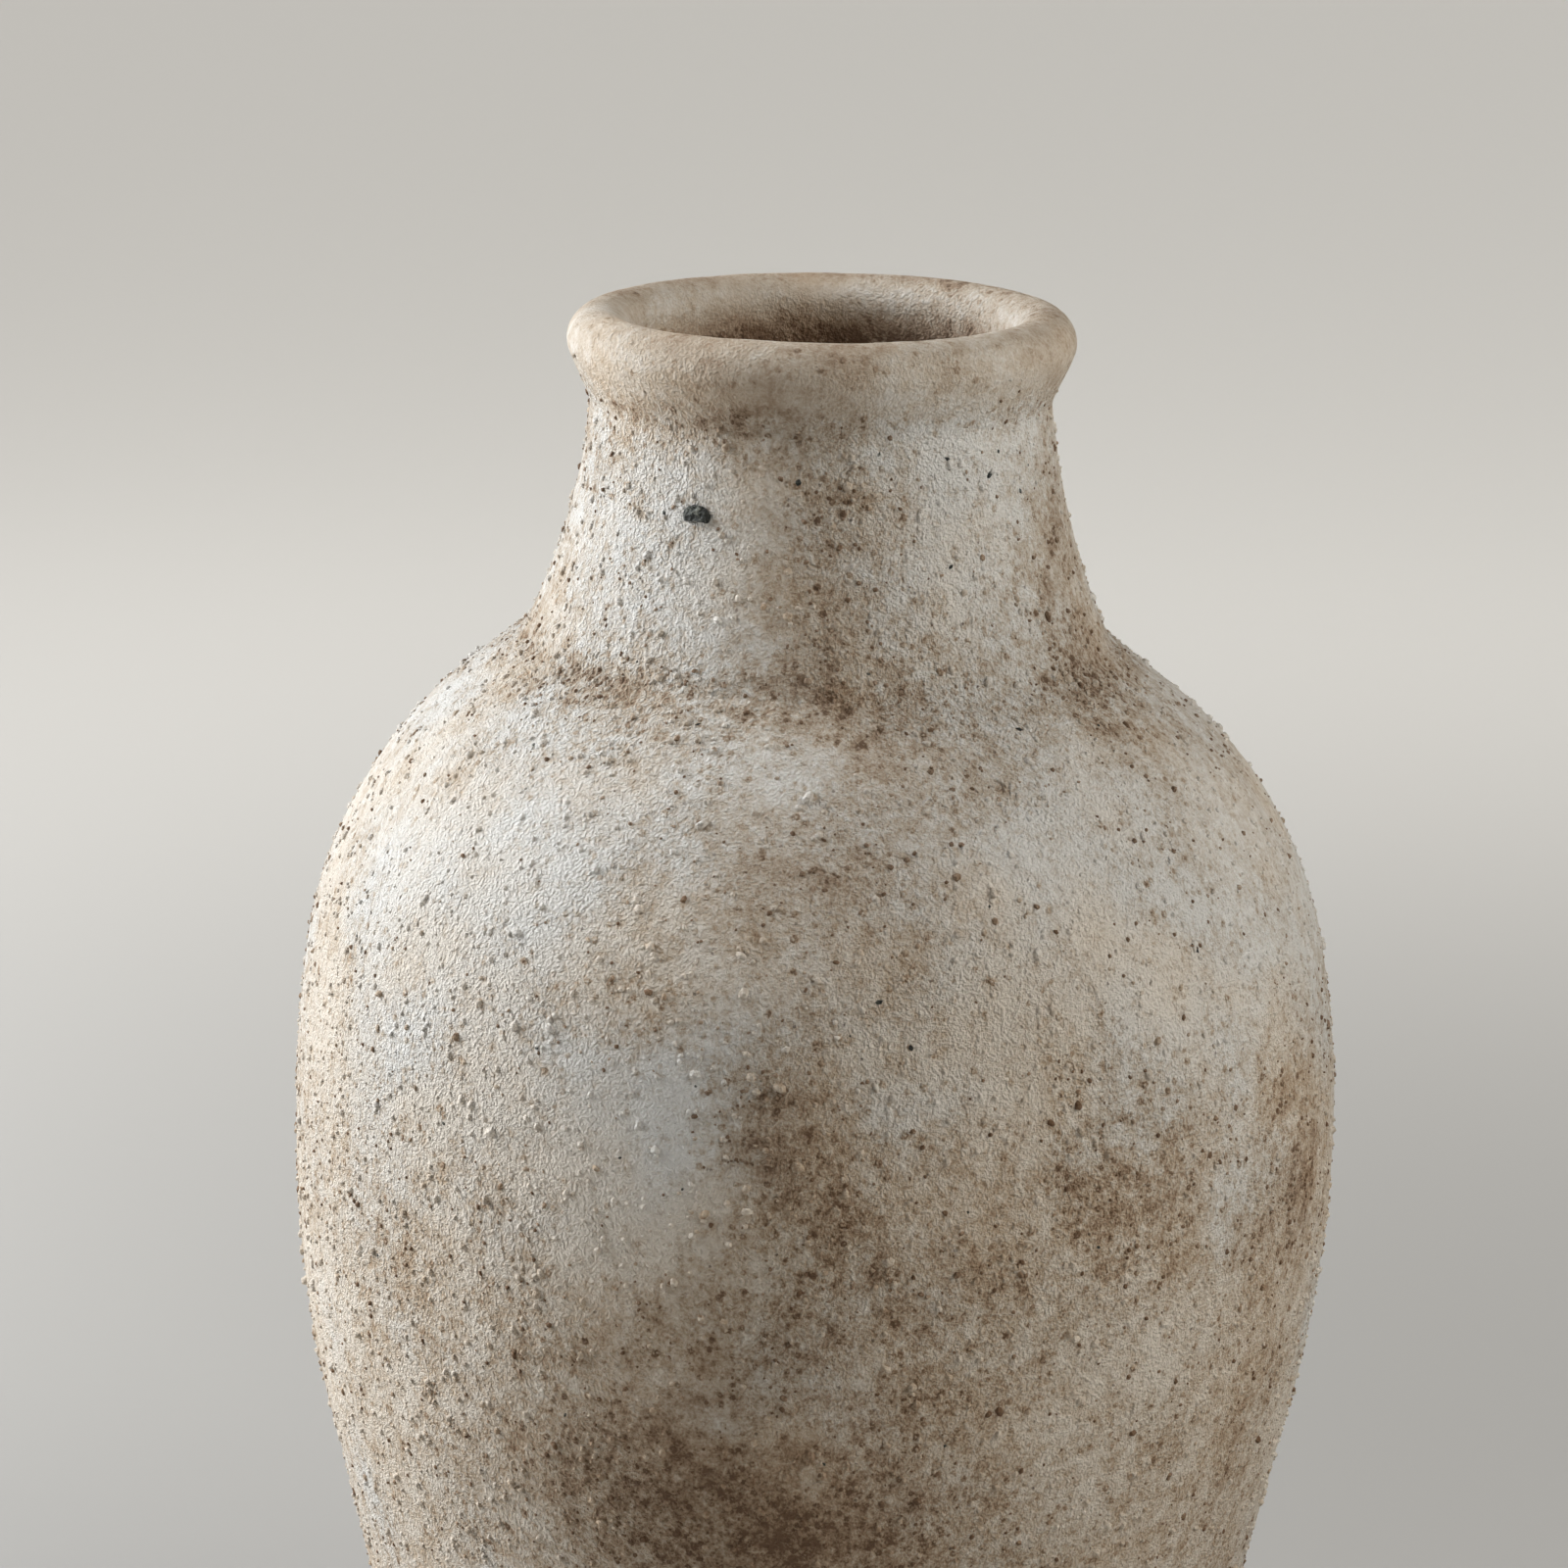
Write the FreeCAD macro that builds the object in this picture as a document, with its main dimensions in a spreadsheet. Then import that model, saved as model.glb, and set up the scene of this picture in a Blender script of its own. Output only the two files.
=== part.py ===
import FreeCAD, Part
import math
import os
import Sketcher

# A hand-built stoneware vase, 280 mm high. +Z is up and the origin is the middle of the footprint,
# so the foot stands on z = 0. The clay pieces are turned sections, joined leather-hard with slip:
# a foot ring, a floor disc, a lower and a shoulder wall, a neck collar and a rolled lip. Coarse
# grog grains and one stone chip sit in sockets in the outer skin. The front of the vase is -Y.

doc = FreeCAD.newDocument("stoneware_vase")

DIMENSIONS = {
    "height": 280.0,  # foot to the crest of the lip
    "wall": 5.8,  # clay thickness of every turned wall
    "slip": 0.5,  # luting slip between two clay pieces
    "belly_radius": 80.3,
    "belly_height": 151.9,  # where the belly is widest
    "belly_arc": 190.6,  # radius of the upright curve around the belly
    "lower_slope": 11.8,  # degrees off upright where the belly curve ends below
    "lower_arc": 2545.0,  # radius of the long, nearly straight curve down to the foot
    "shoulder_start": 9.0,  # degrees off upright where the belly curve ends above
    "shoulder_arc": 65.5,
    "shoulder_slope": 51.8,  # degrees off upright at the foot of the neck
    "shoulder_flat": 11.8,  # straight run from the shoulder curve up to the crease
    "neck_slope": 26.2,  # degrees off upright of the neck, just above the crease
    "neck_top_slope": 4.8,  # degrees off upright of the neck, under the lip
    "neck_height": 275.0,  # height at which the neck curve would stand upright
    "lip_radius": 33.2,  # middle of the rolled bead
    "lip_bead": 4.7,  # radius of the rolled bead
    "lip_slope": 24.0,  # degrees off upright of the lip's underside
    "ridge": 2.4,  # height of the ridge that keys one wall into the next
    "foot_height": 6.0,
    "foot_width": 9.5,
    "foot_draft": 1.5,  # how far the inside of the foot leans in over its height
    "foot_round": 1.5,
    "floor_thickness": 7.0,
    "floor_edge": 1.5,  # upright edge of the floor disc, below its bevel
    "floor_coil": 3.0,  # size of the coil pressed into the corner between floor and wall
    "chip_width": 4.6,
    "chip_height": 2.7,
    "chip_depth": 2.4,
    "chip_azimuth": -29.0,  # degrees round from the front, to the right
    "chip_level": 254.5,
    "grain_count": 44,
    "grain_reach": 0.95,  # half the width of the largest grog grain
    "grain_spread": 0.45,  # share by which the smallest grain is smaller
    "grain_depth": 0.8,  # half a grain's depth, as a share of its reach
    "grain_taper": 0.6,  # width of a grain's outer face, as a share of its inner face
    "grain_clearance": 2.4,  # least distance from a grain's middle to a joint
    "grain_low": 26.0,  # lowest and highest grain
    "grain_high": 258.0,
}

sheet = doc.addObject("Spreadsheet::Sheet", "dims")
for row, (name, size) in enumerate(DIMENSIONS.items(), start=1):
    sheet.set(f"A{row}", name)
    sheet.set(f"B{row}", str(size))
    sheet.setAlias(f"B{row}", name)
doc.recompute()


def value(expression):
    """The number that an expression on the sheet gives."""
    return float(sheet.evalExpression(expression))


# --- The profile: points of the vase's section, as pairs of expressions for radius and height ---


def polar(centre, radius, angle):
    """The point that lies at a radius and an angle, in degrees above level, from a centre."""
    x, z = centre
    return f"{x} + ({radius}) * cos({angle})", f"{z} + ({radius}) * sin({angle})"


def raised(point, rise):
    x, z = point
    return x, f"{z} + {rise}"


def middle(one, other):
    return tuple(f"(({a}) + ({b})) / 2" for a, b in zip(one, other))


BELLY = ("dims.belly_radius - dims.belly_arc", "dims.belly_height")
LOWER = polar(BELLY, "dims.belly_arc - dims.lower_arc", "-dims.lower_slope")
SHOULDER = polar(BELLY, "dims.belly_arc - dims.shoulder_arc", "dims.shoulder_start")
LIP = ("dims.lip_radius", "dims.height - dims.lip_bead")


def belly_point(angle, depth):
    """A point of the belly curve, a depth inside the outer skin."""
    return polar(BELLY, f"dims.belly_arc - {depth}", angle)


def lower_point(level, depth):
    """The point of the long lower curve at a level, a depth inside the outer skin."""
    x, z = LOWER
    return f"{x} + sqrt((dims.lower_arc - {depth})^2 - ({level} - ({z}))^2)", level


def shoulder_point(run, depth):
    """The point that lies a run up the straight part of the shoulder."""
    bend = polar(SHOULDER, f"dims.shoulder_arc - {depth}", "dims.shoulder_slope")
    return polar(bend, run, "90 + dims.shoulder_slope")


CREASE = shoulder_point("dims.shoulder_flat", "0")
NECK_ARC = f"(dims.neck_height - ({CREASE[1]})) / sin(dims.neck_slope)"
NECK = (polar(CREASE, NECK_ARC, "dims.neck_slope")[0], "dims.neck_height")


def neck_point(angle, depth):
    """A point of the neck's hollow curve, a depth inside the outer skin."""
    return polar(NECK, f"-({NECK_ARC} + {depth})", angle)


FLOOR_BOTTOM = "dims.foot_height + dims.slip"
FLOOR_TOP = f"{FLOOR_BOTTOM} + dims.floor_thickness"
BEVEL_BOTTOM = f"{FLOOR_BOTTOM} + dims.floor_edge"


# --- Turned pieces ---


def line(corner):
    """An outline's straight edge, up to a corner."""
    return {"to": corner, "radius": None, "centre": None}


def arc(corner, radius, centre):
    """An outline's round edge, up to a corner."""
    return {"to": corner, "radius": radius, "centre": centre}


def place(sketch, edge, end, point):
    """Binds one end of an edge to a radius and a height."""
    for axis, expression, zero_line in (("X", point[0], -2), ("Y", point[1], -1)):
        if expression == "0":
            sketch.addConstraint(Sketcher.Constraint("PointOnObject", edge, end, zero_line))
            continue
        index = sketch.addConstraint(
            Sketcher.Constraint("Distance" + axis, -1, 1, edge, end, value(expression))
        )
        sketch.setExpression(f"Constraints[{index}]", expression)


def draw(sketch, edges):
    """Draws a closed outline in a sketch and binds every corner and radius to the sheet."""
    joints = []
    start = edges[-1]["to"]
    for edge in edges:
        ends = [FreeCAD.Vector(value(p[0]), value(p[1]), 0) for p in (start, edge["to"])]
        if edge["radius"] is None:
            index = sketch.addGeometry(Part.LineSegment(*ends))
            joints.append((index, 1, 2))
        else:
            centre = FreeCAD.Vector(*[value(part) for part in edge["centre"]], 0)
            angles = [math.atan2(p.y - centre.y, p.x - centre.x) for p in ends]
            forward = math.remainder(angles[1] - angles[0], math.tau) > 0
            if not forward:
                angles.reverse()
            circle = Part.Circle(centre, FreeCAD.Vector(0, 0, 1), value(edge["radius"]))
            index = sketch.addGeometry(Part.ArcOfCircle(circle, *angles))
            joints.append((index, 1, 2) if forward else (index, 2, 1))
        start = edge["to"]
    for (before, _, end), (after, begin, _) in zip(joints, joints[1:] + joints[:1]):
        sketch.addConstraint(Sketcher.Constraint("Coincident", before, end, after, begin))
    for (index, _, end), edge in zip(joints, edges):
        place(sketch, index, end, edge["to"])
        if edge["radius"] is not None:
            radius = sketch.addConstraint(
                Sketcher.Constraint("Radius", index, value(edge["radius"]))
            )
            sketch.setExpression(f"Constraints[{radius}]", edge["radius"])


def turned(label, edges):
    """A body of revolution about Z, whose half section is the outline."""
    body = doc.addObject("PartDesign::Body", label)
    body.Label = label
    plane = next(f for f in body.Origin.OriginFeatures if f.Role == "XZ_Plane")
    sketch = body.newObject("Sketcher::SketchObject", label + "_section")
    sketch.AttachmentSupport = [(plane, "")]
    sketch.MapMode = "FlatFace"
    draw(sketch, edges)
    turn = body.newObject("PartDesign::Revolution", label + "_turn")
    turn.Profile = sketch
    turn.ReferenceAxis = (sketch, ["V_Axis"])
    turn.Angle = 360
    sketch.Visibility = False
    body.Placement = FreeCAD.Placement()
    doc.recompute()
    return body


def keyed(outer, inner, rise):
    """The three corners of a ridged joint face, raised above its two edges."""
    ridge = raised(middle(outer, inner), "dims.ridge")
    return [raised(corner, rise) for corner in (outer, ridge, inner)]


def make_foot_ring():
    """The turned ring that the vase stands on, rounded where it meets the table."""
    outer = lower_point("0", "0")[0]
    inner = f"{outer} - dims.foot_width"
    top = lower_point("dims.foot_height", "0")
    outer_round = (f"{outer} - dims.foot_round", "dims.foot_round")
    inner_round = (f"{inner} + dims.foot_round", "dims.foot_round")
    return turned("foot_ring", [
        line((outer_round[0], "0")),
        arc((outer, "dims.foot_round"), "dims.foot_round", outer_round),
        line(top),
        line((f"{inner} - dims.foot_draft", "dims.foot_height")),
        line((inner, "dims.foot_round")),
        arc((inner_round[0], "0"), "dims.foot_round", inner_round),
    ])


def make_foot_slip():
    """The layer of slip that holds the foot ring to the floor disc."""
    inner = f"{lower_point('0', '0')[0]} - dims.foot_width - dims.foot_draft"
    return turned("foot_slip", [
        line((inner, "dims.foot_height")),
        line(lower_point("dims.foot_height", "0")),
        line(lower_point(FLOOR_BOTTOM, "0")),
        line((inner, FLOOR_BOTTOM)),
    ])


def make_floor_disc():
    """The rolled slab under the pot, with a bevelled edge that the lower wall sits on."""
    return turned("floor_disc", [
        line(("0", FLOOR_BOTTOM)),
        line(lower_point(FLOOR_BOTTOM, "0")),
        line(lower_point(BEVEL_BOTTOM, "0")),
        line(lower_point(FLOOR_TOP, "dims.wall")),
        line(("0", FLOOR_TOP)),
    ])


def make_floor_slip():
    """The slip on the floor disc's bevel, with the coil pressed into the corner inside."""
    corner = lower_point(FLOOR_TOP, "dims.wall")
    coil_top = lower_point(f"{FLOOR_TOP} + dims.floor_coil", "dims.wall")
    coil_centre = (f"{coil_top[0]} - dims.floor_coil", coil_top[1])
    return turned("floor_slip", [
        line(lower_point(BEVEL_BOTTOM, "0")),
        line(lower_point(f"{BEVEL_BOTTOM} + dims.slip", "0")),
        line(lower_point(f"{FLOOR_TOP} + dims.slip", "dims.wall")),
        line(coil_top),
        arc((coil_centre[0], FLOOR_TOP), "dims.floor_coil", coil_centre),
        line(corner),
    ])


def make_lower_wall():
    """The lower thrown section, from the floor's bevel up to the ridge at the belly."""
    bend_in = belly_point("-dims.lower_slope", "dims.wall")
    bend_out = belly_point("-dims.lower_slope", "0")
    outer, ridge, inner = keyed(belly_point("0", "0"), belly_point("0", "dims.wall"), "0")
    return turned("lower_wall", [
        line(lower_point(f"{BEVEL_BOTTOM} + dims.slip", "0")),
        arc(bend_out, "dims.lower_arc", LOWER),
        arc(outer, "dims.belly_arc", BELLY),
        line(ridge),
        line(inner),
        arc(bend_in, "dims.belly_arc - dims.wall", BELLY),
        arc(lower_point(f"{FLOOR_TOP} + dims.slip", "dims.wall"),
            "dims.lower_arc - dims.wall", LOWER),
    ])


def slip_band(label, outer, inner):
    """The slip in a ridged joint: a band of even height that follows the ridge."""
    below = keyed(outer, inner, "0")
    above = keyed(outer, inner, "dims.slip")
    return turned(label, [line(corner) for corner in below + above[::-1]])


def make_belly_slip():
    return slip_band("belly_slip", belly_point("0", "0"), belly_point("0", "dims.wall"))


def make_shoulder_wall():
    """The upper thrown section, from the belly over the shoulder to just below the crease."""
    outer, ridge, inner = keyed(
        belly_point("0", "0"), belly_point("0", "dims.wall"), "dims.slip"
    )
    run = "dims.shoulder_flat - dims.slip"
    return turned("shoulder_wall", [
        line(outer),
        arc(belly_point("dims.shoulder_start", "0"), "dims.belly_arc", BELLY),
        arc(shoulder_point("0", "0"), "dims.shoulder_arc", SHOULDER),
        line(shoulder_point(run, "0")),
        line(shoulder_point(run, "dims.wall")),
        line(shoulder_point("0", "dims.wall")),
        arc(belly_point("dims.shoulder_start", "dims.wall"),
            "dims.shoulder_arc - dims.wall", SHOULDER),
        arc(inner, "dims.belly_arc - dims.wall", BELLY),
        line(ridge),
    ])


def make_neck_slip():
    """The wedge of luting clay between shoulder and collar: thin outside, thick inside."""
    run = "dims.shoulder_flat - dims.slip"
    return turned("neck_slip", [
        line(shoulder_point(run, "0")),
        line(CREASE),
        line(neck_point("dims.neck_slope", "dims.wall")),
        line(shoulder_point(run, "dims.wall")),
    ])


def neck_top(depth):
    return neck_point("dims.neck_top_slope", depth)


def make_neck_collar():
    """The flared collar, from the crease up to the ridge under the lip."""
    outer, ridge, inner = keyed(neck_top("0"), neck_top("dims.wall"), "0")
    return turned("neck_collar", [
        line(CREASE),
        arc(outer, NECK_ARC, NECK),
        line(ridge),
        line(inner),
        arc(neck_point("dims.neck_slope", "dims.wall"), f"{NECK_ARC} + dims.wall", NECK),
    ])


def make_lip_slip():
    return slip_band("lip_slip", neck_top("0"), neck_top("dims.wall"))


def make_rolled_lip():
    """The coil rolled over the collar: a round bead above a tapered underside."""
    outer, ridge, inner = keyed(neck_top("0"), neck_top("dims.wall"), "dims.slip")
    crest = polar(LIP, "dims.lip_bead", "90")
    return turned("rolled_lip", [
        line(outer),
        line(polar(LIP, "dims.lip_bead", "-dims.lip_slope")),
        arc(crest, "dims.lip_bead", LIP),
        arc(polar(LIP, "dims.lip_bead", "180"), "dims.lip_bead", LIP),
        line(inner),
        line(ridge),
    ])


# --- Stones in the clay ---


def skin_radius(level):
    """The outer radius at a level, from whichever curve of the profile passes there."""
    belly_x, belly_z = (value(part) for part in BELLY)
    lower_x, lower_z = (value(part) for part in LOWER)
    shoulder_x, shoulder_z = (value(part) for part in SHOULDER)
    neck_x, neck_z = (value(part) for part in NECK)
    crease_x, crease_z = (value(part) for part in CREASE)
    if level < value(belly_point("-dims.lower_slope", "0")[1]):
        return lower_x + math.sqrt(value("dims.lower_arc") ** 2 - (level - lower_z) ** 2)
    if level < value(belly_point("dims.shoulder_start", "0")[1]):
        return belly_x + math.sqrt(value("dims.belly_arc") ** 2 - (level - belly_z) ** 2)
    if level < value(shoulder_point("0", "0")[1]):
        return shoulder_x + math.sqrt(
            value("dims.shoulder_arc") ** 2 - (level - shoulder_z) ** 2
        )
    if level < crease_z:
        return crease_x + (crease_z - level) * math.tan(
            math.radians(value("dims.shoulder_slope"))
        )
    return neck_x - math.sqrt(value(NECK_ARC) ** 2 - (level - neck_z) ** 2)


def lean(level):
    """Degrees that the outer skin faces above level at a height."""
    step = 0.01
    fall = skin_radius(level - step) - skin_radius(level + step)
    return math.degrees(math.atan2(fall, 2 * step))


def seated(level, azimuth, turned_up=0):
    """The placement on the skin, at a level and an azimuth, that turns local Z outward.

    turned_up turns an item about local X first, for one whose outer end isn't along Z.
    """
    bearing = azimuth - 90
    outward = FreeCAD.Vector(
        math.cos(math.radians(bearing)), math.sin(math.radians(bearing)), 0
    )
    turn = FreeCAD.Rotation(FreeCAD.Vector(0, 0, 1), bearing)
    tilt = FreeCAD.Rotation(FreeCAD.Vector(0, 1, 0), 90 - lean(level))
    rise = FreeCAD.Rotation(FreeCAD.Vector(1, 0, 0), turned_up)
    centre = outward * skin_radius(level) + FreeCAD.Vector(0, 0, level)
    return FreeCAD.Placement(centre, turn * tilt * rise)


def make_stone_chip():
    """The one large flat stone, lens-shaped, low in the skin of the neck."""
    chip = doc.addObject("Part::Ellipsoid", "stone_chip")
    chip.setExpression("Radius1", "dims.chip_depth / 2")
    chip.setExpression("Radius2", "dims.chip_height / 2")
    chip.setExpression("Radius3", "dims.chip_width / 2")
    chip.Placement = seated(value("dims.chip_level"), value("dims.chip_azimuth"))
    return chip


def make_grain(number, level, azimuth):
    """A crushed grain: a four-sided block that narrows outward, sunk halfway into the skin."""
    grain = doc.addObject("Part::Wedge", f"grain_{number}")
    smaller = f"dims.grain_spread * abs(sin({number} rad))"
    reach = f"dims.grain_reach * (1 - {smaller})"
    for end, sign in (("min", "-"), ("max", "")):
        grain.setExpression(f"X{end}", f"{sign}{reach}")
        grain.setExpression(f"Z{end}", f"{sign}{reach}")
        grain.setExpression(f"X2{end}", f"{sign}{reach} * dims.grain_taper")
        grain.setExpression(f"Z2{end}", f"{sign}{reach} * dims.grain_taper")
        grain.setExpression(f"Y{end}", f"{sign}{reach} * dims.grain_depth")
    grain.Placement = seated(level, azimuth, turned_up=90)
    return grain


def clear_of_joints(level):
    """The nearest level that keeps a grain off the ridged joints."""
    clearance, ridge = value("dims.grain_clearance"), value("dims.ridge")
    for joint in (value(point[1]) for point in (belly_point("0", "0"), CREASE)):
        if abs(level - joint) < clearance + ridge:
            return joint - clearance if level < joint else joint + clearance + ridge
    return level


def make_grog_grains():
    """The coarsest grog, spread evenly round the vase on a golden-angle spiral."""
    golden = math.degrees(math.pi * (3 - math.sqrt(5)))
    count = int(value("dims.grain_count"))
    low, high = value("dims.grain_low"), value("dims.grain_high")
    levels = [low + (high - low) * (number + 0.5) / count for number in range(count)]
    group = doc.addObject("Part::Compound", "grog_grains")
    group.Label = "grog_grains"
    group.Links = [
        make_grain(number, clear_of_joints(level), golden * number)
        for number, level in enumerate(levels)
    ]
    return group


def socketed(body, tools, label):
    """The turned body with the stones' sockets cut out of it."""
    body.Label = label + "_turned"
    stones = tools[0]
    if len(tools) > 1:
        stones = doc.addObject("Part::Compound", label + "_stones")
        stones.Links = tools
    cut = doc.addObject("Part::Cut", label + "_socketed")
    cut.Label = label
    cut.Base = body
    cut.Tool = stones
    doc.recompute()
    return cut


grains = make_grog_grains()
chip = make_stone_chip()
doc.recompute()

subparts = [
    make_foot_ring(),
    make_foot_slip(),
    make_floor_disc(),
    make_floor_slip(),
    socketed(make_lower_wall(), [grains], "lower_wall"),
    make_belly_slip(),
    socketed(make_shoulder_wall(), [grains], "shoulder_wall"),
    make_neck_slip(),
    socketed(make_neck_collar(), [grains, chip], "neck_collar"),
    make_lip_slip(),
    make_rolled_lip(),
    chip,
    grains,
]
doc.recompute()

for item in doc.Objects:
    if "Invalid" in item.State or "Error" in item.State:
        raise RuntimeError(f"{item.Label} failed: {item.State}")
for part in subparts:
    if part.Shape.isNull() or not part.Shape.isValid():
        raise RuntimeError(f"{part.Label} has no valid shape")

os.makedirs("parts", exist_ok=True)
for part in subparts:
    part.Shape.exportStep(f"parts/{part.Label}.step")
    box = part.Shape.optimalBoundingBox(False)
    print(f"{part.Label}: {len(part.Shape.Solids)} solid(s), volume {part.Shape.Volume:.0f} mm3, "
          f"z {box.ZMin:.2f} to {box.ZMax:.2f}, radius {box.XMax:.2f}")
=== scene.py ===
"""Rough stoneware vase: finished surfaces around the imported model.

Each clay piece is rebuilt as a fine turned mesh, roughened by seeded noise, with loose grog and
stones set into its skin. Points are in millimetres until add_piece makes a mesh of them. Names
ending in _MM are in millimetres, and so are the points, sizes and levels handed to functions. The
floor, the lights and the camera are placed in metres.
"""

import itertools
import math

import bmesh
import bpy
import numpy as np
from mathutils import Matrix, Vector


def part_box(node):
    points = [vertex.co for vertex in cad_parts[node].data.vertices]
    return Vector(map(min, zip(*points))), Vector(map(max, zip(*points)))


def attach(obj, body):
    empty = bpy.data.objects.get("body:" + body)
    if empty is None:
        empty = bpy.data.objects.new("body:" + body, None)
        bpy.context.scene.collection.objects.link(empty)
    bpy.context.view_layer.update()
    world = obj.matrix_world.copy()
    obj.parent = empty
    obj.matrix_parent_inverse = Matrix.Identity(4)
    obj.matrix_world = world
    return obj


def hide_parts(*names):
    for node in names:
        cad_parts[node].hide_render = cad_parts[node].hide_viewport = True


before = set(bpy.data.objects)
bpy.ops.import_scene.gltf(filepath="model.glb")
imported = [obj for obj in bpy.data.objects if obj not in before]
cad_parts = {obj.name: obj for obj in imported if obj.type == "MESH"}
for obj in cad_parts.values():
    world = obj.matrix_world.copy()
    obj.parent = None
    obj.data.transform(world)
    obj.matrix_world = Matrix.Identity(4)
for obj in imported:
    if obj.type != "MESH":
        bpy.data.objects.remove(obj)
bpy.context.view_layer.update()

MM = 0.001
SEED = 41
COLUMNS = 560  # vertices round the vase in every turned piece

# --- The profile, in millimetres: the arcs that the clay pieces are turned to ---

HEIGHT_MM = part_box("rolled_lip")[1].z / MM
BELLY_RADIUS_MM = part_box("lower_wall")[1].x / MM
WALL_MM = 5.8
# The long lower curve, the belly's arc, the shoulder's arc and the straight run above it.
BELLY_LEVEL_MM = 151.9
BELLY_ARC_MM = 190.6
LOWER_SLOPE = math.radians(11.8)
LOWER_ARC_MM = 2545.0
SHOULDER_START = math.radians(9.0)
SHOULDER_ARC_MM = 65.5
SHOULDER_SLOPE = math.radians(51.8)
SHOULDER_FLAT_MM = 11.8
# The hollow curve of the neck, with its slope at each end, and the bead of the lip.
NECK_SLOPE = math.radians(26.2)
NECK_TOP_SLOPE = math.radians(4.8)
NECK_CENTRE_LEVEL_MM = 275.0
LIP_RADIUS_MM = 33.2
LIP_BEAD_MM = 4.7
LIP_SLOPE = math.radians(24.0)
# The foot ring, the slip in the joints, the floor slab and the ridge of a ridged joint.
FOOT_MM = 6.0
FOOT_WIDTH_MM = 9.5
FOOT_DRAFT_MM = 1.5
FOOT_ROUND_MM = 1.5
SLIP_MM = 0.5
FLOOR_MM = 7.0
FLOOR_EDGE_MM = 1.5
RIDGE_MM = 2.4
CORNER_REACH_MM = 1.2  # how far a corner of the profile is rounded over
FINE_MM = 0.1  # spacing along the outlines that the pieces' sections are cut from


def polar(centre, radius, angle):
    """The point at a radius and an angle above level from a centre."""
    return np.array([centre[0] + radius * math.cos(angle), centre[1] + radius * math.sin(angle)])


BELLY_CENTRE = np.array([BELLY_RADIUS_MM - BELLY_ARC_MM, BELLY_LEVEL_MM])
LOWER_CENTRE = polar(BELLY_CENTRE, BELLY_ARC_MM - LOWER_ARC_MM, -LOWER_SLOPE)
SHOULDER_CENTRE = polar(BELLY_CENTRE, BELLY_ARC_MM - SHOULDER_ARC_MM, SHOULDER_START)
LIP_CENTRE = np.array([LIP_RADIUS_MM, HEIGHT_MM - LIP_BEAD_MM])
SHOULDER_END = polar(SHOULDER_CENTRE, SHOULDER_ARC_MM, SHOULDER_SLOPE)
CREASE = polar(SHOULDER_END, SHOULDER_FLAT_MM, SHOULDER_SLOPE + math.pi / 2)
NECK_ARC_MM = (NECK_CENTRE_LEVEL_MM - CREASE[1]) / math.sin(NECK_SLOPE)
NECK_CENTRE = np.array([CREASE[0] + NECK_ARC_MM * math.cos(NECK_SLOPE), NECK_CENTRE_LEVEL_MM])


def arc(centre, radius, start, end, count=400):
    """Points along an arc between two angles above level."""
    return np.array([polar(centre, radius, angle) for angle in np.linspace(start, end, count)])


def lower_angle(level):
    """The angle on the long lower curve that reaches a level."""
    return math.asin((level - LOWER_CENTRE[1]) / LOWER_ARC_MM)


def lower_point(level, depth=0.0):
    """The point of the lower curve at a level, a depth inside the skin."""
    radius = LOWER_ARC_MM - depth
    return np.array([
        LOWER_CENTRE[0] + math.sqrt(radius**2 - (level - LOWER_CENTRE[1]) ** 2), level
    ])


def neck_point(angle, depth=0.0):
    """A point of the neck's hollow curve, a depth inside the skin."""
    return polar(NECK_CENTRE, -(NECK_ARC_MM + depth), angle)


def shoulder_point(run, depth=0.0):
    """The point a run up the straight part of the shoulder, a depth inside the skin."""
    bend = polar(SHOULDER_CENTRE, SHOULDER_ARC_MM - depth, SHOULDER_SLOPE)
    return polar(bend, run, SHOULDER_SLOPE + math.pi / 2)


def wall_path(depth):
    """Up the whole wall at a depth inside the skin, from the floor to the neck's top."""
    return np.concatenate([
        arc(LOWER_CENTRE, LOWER_ARC_MM - depth, lower_angle(0.0), -LOWER_SLOPE),
        arc(BELLY_CENTRE, BELLY_ARC_MM - depth, -LOWER_SLOPE, SHOULDER_START),
        arc(SHOULDER_CENTRE, SHOULDER_ARC_MM - depth, SHOULDER_START, SHOULDER_SLOPE),
        arc(NECK_CENTRE, -(NECK_ARC_MM + depth), NECK_SLOPE, NECK_TOP_SLOPE),
    ])


def spaced(path, spacing):
    """The same path with its points about a spacing apart."""
    steps = np.linalg.norm(np.diff(path, axis=0), axis=1)
    along = np.concatenate([[0.0], np.cumsum(steps)])
    wanted = np.linspace(0.0, along[-1], max(1, round(along[-1] / spacing)) + 1)
    return np.stack([np.interp(wanted, along, path[:, k]) for k in (0, 1)], axis=1)


def softened(path, reach):
    """A path with its corners rounded over a reach; its ends stay where they are."""
    fine = spaced(path, FINE_MM)
    steps = round(reach / FINE_MM)
    window = np.hanning(2 * steps + 3)[1:-1]
    padded = np.concatenate([
        2 * fine[0] - fine[steps:0:-1], fine, 2 * fine[-1] - fine[-2:-steps - 2:-1]
    ])
    return np.stack(
        [np.convolve(padded[:, k], window / window.sum(), mode="valid") for k in (0, 1)], axis=1
    )


LIP_OUTLINE = np.concatenate([
    [neck_point(NECK_TOP_SLOPE)],
    arc(LIP_CENTRE, LIP_BEAD_MM, -LIP_SLOPE, math.pi),
    [neck_point(NECK_TOP_SLOPE, WALL_MM) + [0.0, SLIP_MM]],
])
OUTSIDE = softened(np.concatenate([wall_path(0.0), LIP_OUTLINE[1:]]), CORNER_REACH_MM)
INSIDE = softened(np.concatenate([wall_path(WALL_MM), LIP_OUTLINE[-1:]]), CORNER_REACH_MM)


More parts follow.
